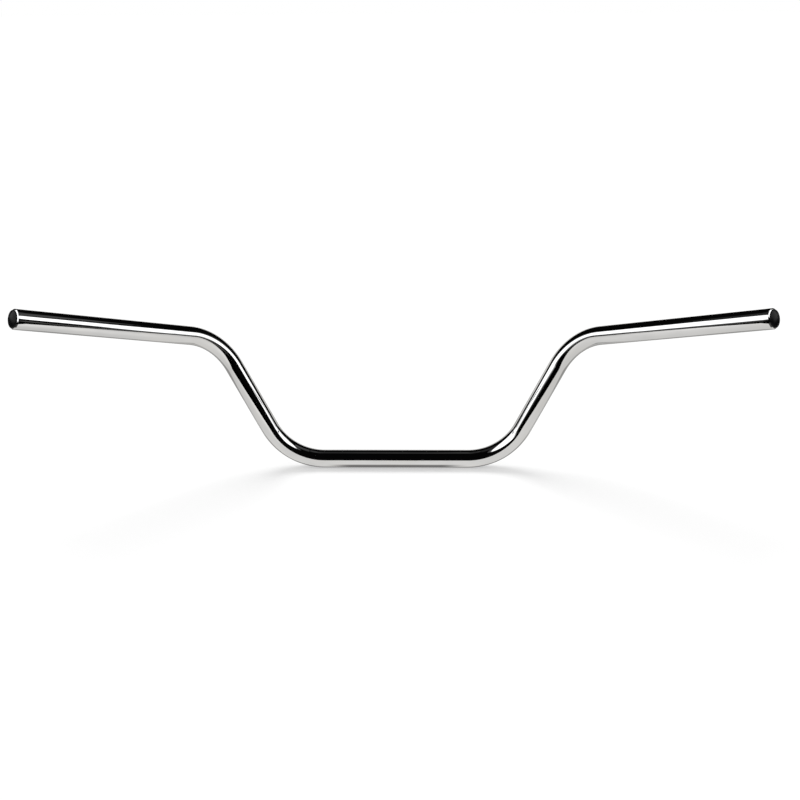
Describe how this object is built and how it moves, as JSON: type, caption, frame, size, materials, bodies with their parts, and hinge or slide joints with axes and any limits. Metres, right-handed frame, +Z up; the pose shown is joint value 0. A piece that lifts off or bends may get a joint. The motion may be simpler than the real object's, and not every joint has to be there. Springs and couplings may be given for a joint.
{
  "type": "motorcycle handlebar",
  "caption": "Chrome-plated bent steel tube handlebar with raised, swept-back grip ends, a straight centre section for the clamps and black push-in end plugs.",
  "frame": {"origin": "middle of the clamp line: the centre of the straight section, on the tube's axis", "axes": "+X along the clamp line to the right-hand end, +Y away from the rider, +Z up the risers"},
  "size_m": [0.8024, 0.1891, 0.2505],
  "materials": {
    "chrome_plate": "bright mirror-polished chrome plate on steel",
    "black_plastic": "glossy moulded black plastic"
  },
  "bodies": {
    "bar": {"bar_tube": "chrome_plate"},
    "left_plug": {"plug_left": "black_plastic"},
    "right_plug": {"plug_right": "black_plastic"}
  },
  "joints": [
    {"name": "left_plug_pull", "type": "slide", "parent": "bar", "child": "left_plug", "axis": [-0.6977, -0.6596, 0.2794], "range_m": [0, 0.034]},
    {"name": "right_plug_pull", "type": "slide", "parent": "bar", "child": "right_plug", "axis": [0.6977, -0.6596, 0.2794], "range_m": [0, 0.034]}
  ]
}
